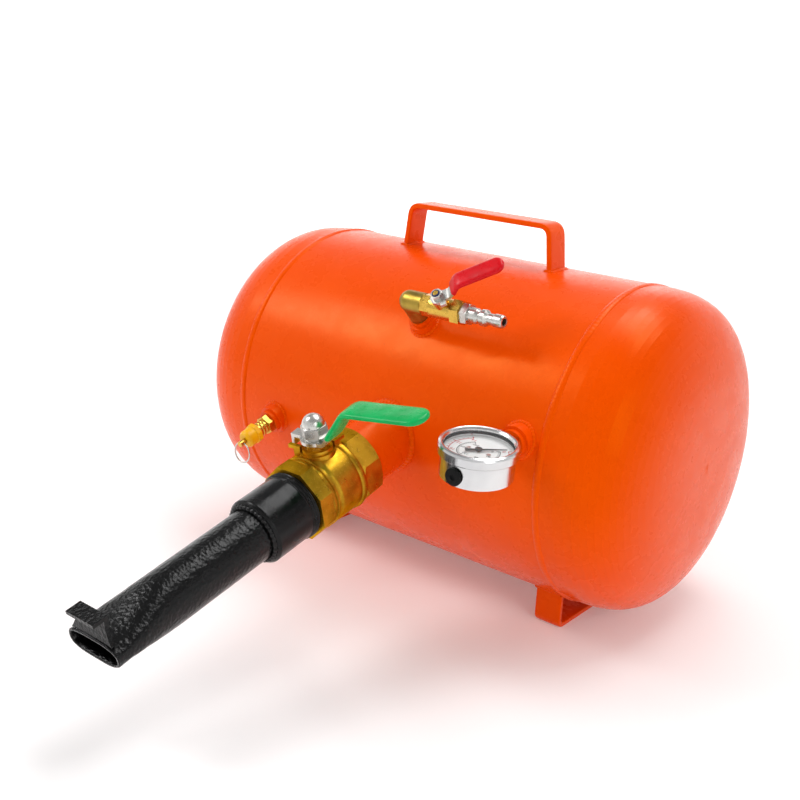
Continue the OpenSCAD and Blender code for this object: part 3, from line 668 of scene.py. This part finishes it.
def barrel_bead():
    """The coarse weld between the nipple and the tube."""
    path, normals = [], []
    for a in ring_angles(150):
        path.append(around(BARREL, 20.3, 140.4, a))
        normals.append(BARREL.to_3x3() @ Vector((math.cos(a), math.sin(a), 0.8)))
    weld = Mesh()
    bead(weld, path, 2.0 * MM, normals, ripple=0.22, pitch=3.4 * MM)
    piece("barrel_bead", weld, "black_powder_coat", 80, nodes=["barrel_weld"], material=HAMMERED)


def nipple_thread():
    """The nipple's bare thread: a band whose ridge winds round the barrel's axis."""
    start, end, pitch = 100.2, 107.5, 2.2
    root, depth = 24.15, 1.1
    inner = root - 0.25
    # About ten sections to a turn of the ridge
    steps, turns = 33, ring_angles(96)
    rings = []
    for i in range(steps + 1):
        s = start + (end - start) * i / steps
        fade = min(1, 4 * min(i, steps - i) / steps + 0.2)
        ring = []
        for k, a in enumerate(turns):
            phase = (s / pitch - k / len(turns)) % 1
            ridge = depth * (1 - abs(2 * phase - 1))
            ring.append(around(BARREL, root + ridge * fade, s, a))
        rings.append(ring)
    for s in (end, start):
        rings.append([around(BARREL, inner, s, a) for a in turns])
    band = Mesh()
    band.rings(rings, closed=True)
    piece("nipple_thread", band, "black_powder_coat", 25)


flattened_tube()
barrel_bead()
nipple_thread()

# ---- grips ----

SLEEVE_POWER = 2.9


def lever_path(place, points, bend, start):
    """A lever's middle line from start on, through points along it and up its stem."""
    path = rounded([Vector((x * MM, 0, z * MM)) for x, z in points], bend * MM)
    path = dense([place @ p for p in path], 1.2 * MM)
    back = place.inverted()
    return [p for p in path if (back @ p).x > start * MM]


def green_sleeve():
    """The ball valve's vinyl sleeve."""
    path = lever_path(STEM, [(4, 37.3), (12, 37.3), (34, 67.5), (97, 75)], bend=5, start=17)
    across = STEM.to_3x3() @ Vector((0, 1, 0))
    green = Mesh()
    strap(green, path, across, 21.5 * MM, 5.2 * MM, SLEEVE_POWER, 64,
          nose=(1.2 * MM, 11 * MM), wave=0.5 * MM)
    piece("green_sleeve", green, "green_vinyl", 70, "main_lever", ["lever_grip"])


def red_sleeve():
    """The fill valve's vinyl sleeve."""
    path = lever_path(FILL_STEM, [(4, 13.3), (9, 13.3), (17, 22.3), (53, 23.3)], bend=3, start=11.5)
    across = FILL_STEM.to_3x3() @ Vector((0, 1, 0))
    red = Mesh()
    strap(red, path, across, 14 * MM, 4.6 * MM, SLEEVE_POWER, 56,
          nose=(1.0 * MM, 7 * MM), wave=0.3 * MM)
    piece("red_sleeve", red, "red_vinyl", 70, "fill_lever", ["inlet_grip"])


def nut_insert():
    """The nylon ring that locks the fill lever's nut. Its section is radii and heights."""
    section = ((2.06, 18.0), (3.0, 18.0), (3.1, 18.3), (2.9, 18.8), (2.5, 18.95), (2.06, 18.9))
    insert = Mesh()
    insert.rings([[around(FILL_STEM, r, z, a) for a in ring_angles(40)] for r, z in section],
                 closed=True)
    piece("nut_insert", insert, "black_rubber", 60, "fill_lever", material=BLUE_NYLON)


green_sleeve()
red_sleeve()
nut_insert()

# ---- gauge dial, its print in millimetres ----

DIAL_Z = 7.5
DIAL_START, DIAL_SWEEP = 225, 270
BAR_STEPS, PSI_STEPS = 28, 40


def dial_angle(i, count):
    """The direction of mark i of count, from the scale's zero."""
    return math.radians(DIAL_START - DIAL_SWEEP * i / count)


def dial_point(x, y, z):
    """A point on the dial. The reader's up is away from the stem."""
    return GAUGE @ (Vector((-x, -y, z + DIAL_Z)) * MM)


def printed(name, shape, material):
    piece(name, shape, "white_dial", 20, material=material)


def ticks(name, material, count, r_low, r_high, width, every=1):
    """Radial marks, one for each of every steps of the scale."""
    mesh = Mesh()
    for i in range(0, count + 1, every):
        a = dial_angle(i, count)
        c, s = math.cos(a), math.sin(a)
        rings = []
        for z in (-0.02, 0.06):
            ring = []
            for r, w in ((r_low, -width), (r_high, -width), (r_high, width), (r_low, width)):
                ring.append(dial_point(c * r - s * w / 2, s * r + c * w / 2, z))
            rings.append(ring)
        mesh.rings(rings)
    printed(name, mesh, material)


def arc_line(name, material, radius, width):
    """A line along the whole scale."""
    mesh = Mesh()
    rings = []
    outer = radius + width
    steps = 120
    for i in range(steps + 1):
        a = dial_angle(i, steps)
        rings.append([dial_point(math.cos(a) * r, math.sin(a) * r, z)
                      for r, z in ((radius, -0.02), (outer, -0.02), (outer, 0.05), (radius, 0.05))])
    mesh.rings(rings)
    printed(name, mesh, material)


def numbers(name, values, material, radius, size):
    """Generic dial numbers in Blender's own font, turned into one flat mesh."""
    mesh = Mesh()
    for i, value in enumerate(values):
        a = dial_angle(i, len(values) - 1)
        curve = bpy.data.curves.new(name, "FONT")
        curve.body = str(value)
        curve.size = size
        curve.align_x = "CENTER"
        curve.align_y = "CENTER"
        curve.resolution_u = 3
        curve.extrude = 0.04
        holder = bpy.data.objects.new(name, curve)
        flat = bpy.data.meshes.new_from_object(holder)
        base = len(mesh.verts)
        for v in flat.vertices:
            x, y, z = v.co
            mesh.verts.append(dial_point(x + math.cos(a) * radius, y + math.sin(a) * radius, z + 0.02))
        mesh.faces.extend(tuple(base + k for k in p.vertices) for p in flat.polygons)
        bpy.data.objects.remove(holder)
        bpy.data.meshes.remove(flat)
        bpy.data.curves.remove(curve)
    printed(name, mesh, material)


ticks("dial_bar_ticks", RED_PRINT, BAR_STEPS, 20.0, 21.6, 0.4)
ticks("dial_bar_marks", RED_PRINT, BAR_STEPS, 20.0, 22.4, 0.8, every=4)
arc_line("dial_bar_line", RED_PRINT, 19.6, 0.5)
arc_line("dial_psi_line", BLACK_PRINT, 14.1, 0.4)
ticks("dial_psi_ticks", BLACK_PRINT, PSI_STEPS, 12.7, 14.1, 0.35)
ticks("dial_psi_marks", BLACK_PRINT, PSI_STEPS, 11.9, 14.1, 0.7, every=8)
numbers("dial_bar_numbers", range(0, 15, 2), RED_PRINT, 17.1, 4.0)
numbers("dial_psi_numbers", range(0, 201, 40), BLACK_PRINT, 9.4, 3.1)

# ---- floor, light and camera ----


def backdrop():
    """A pale floor that curves up into a wall all round, like a photographer's cove."""
    floor, bend, wall_top = 2.6, 1, 2.4
    profile = [(0.8, 0.0), (1.6, 0.0), (floor, 0.0)]
    for i in range(1, 13):
        a = math.pi / 2 * i / 12
        profile.append((floor + bend * math.sin(a), bend - bend * math.cos(a)))
    profile.append((floor + bend, wall_top))
    n = 96
    verts, faces = [(0, 0, 0)], []
    for r, z in profile:
        verts.extend((r * math.cos(a), r * math.sin(a), z) for a in ring_angles(n))
    faces.extend((0, 1 + k, 1 + (k + 1) % n) for k in range(n))
    for i in range(len(profile) - 1):
        base = 1 + i * n
        for k in range(n):
            m = (k + 1) % n
            faces.append((base + k, base + n + k, base + n + m, base + m))
    mesh = bpy.data.meshes.new("backdrop")
    mesh.from_pydata(verts, [], faces)
    mesh.polygons.foreach_set("use_smooth", [True] * len(mesh.polygons))
    obj = bpy.data.objects.new("backdrop", mesh)
    bpy.context.scene.collection.objects.link(obj)
    p = Paint("backdrop", (0.94, 0.94, 0.94), 0.7, Specular_IOR_Level=0.1,
              Emission_Color=(1, 1, 1, 1), Emission_Strength=0.12)
    p.tint(p.ramp(p.noise(2, 2), 0.3, 0.8), (0.93, 0.93, 0.93))
    mesh.materials.append(p.mat)


def area(name, place, target, size, power):
    """A soft rectangular light that faces its target."""
    light = bpy.data.lights.new(name, "AREA")
    light.shape = "RECTANGLE"
    light.size, light.size_y = size
    light.energy = power
    obj = bpy.data.objects.new(name, light)
    obj.location = place
    obj.rotation_euler = (Vector(target) - Vector(place)).to_track_quat("-Z", "Y").to_euler()
    bpy.context.scene.collection.objects.link(obj)


backdrop()
middle = (0, TANK_Y, TANK_Z)
area("key", (-1.2, -0.9, 1.5), middle, (0.7, 0.7), 14)
area("side", (1.7, -0.7, 0.8), middle, (0.7, 1.0), 5.5)
area("top", (0.15, 0.55, 1.7), middle, (1.3, 0.7), 14.5)
# This one faces the cove behind the tank, to whiten it
area("wall", (-1.0, 1.3, 1.4), (-2.3, 2.7, 0.9), (1.6, 1.2), 34)

world = bpy.data.worlds.new("world")
bpy.context.scene.world = world
world.use_nodes = True
sky = world.node_tree.nodes["Background"].inputs
sky["Color"].default_value = (1, 1, 1, 1)
sky["Strength"].default_value = 0.4
bpy.context.scene.view_settings.view_transform = "Standard"


def camera():
    """A camera looking down and to the left at the tank, rolled a little."""
    place = at(516.9, -747.0, 283.6)
    az, el, roll = math.radians(38.4), math.radians(17.5), math.radians(3.1)
    back = Vector((math.sin(az) * math.cos(el), -math.cos(az) * math.cos(el), math.sin(el)))
    level = Vector((math.cos(az), math.sin(az), 0))
    upright = back.cross(level)
    right = level * math.cos(roll) + upright * math.sin(roll)
    up = upright * math.cos(roll) - level * math.sin(roll)
    data = bpy.data.cameras.new("camera")
    data.sensor_width = 36
    data.lens = 51.19
    data.clip_start = 0.02
    obj = bpy.data.objects.new("camera", data)
    turn = Matrix((right, up, back)).transposed().to_4x4()
    obj.matrix_world = Matrix.Translation(place) @ turn
    bpy.context.scene.collection.objects.link(obj)
    bpy.context.scene.camera = obj


camera()
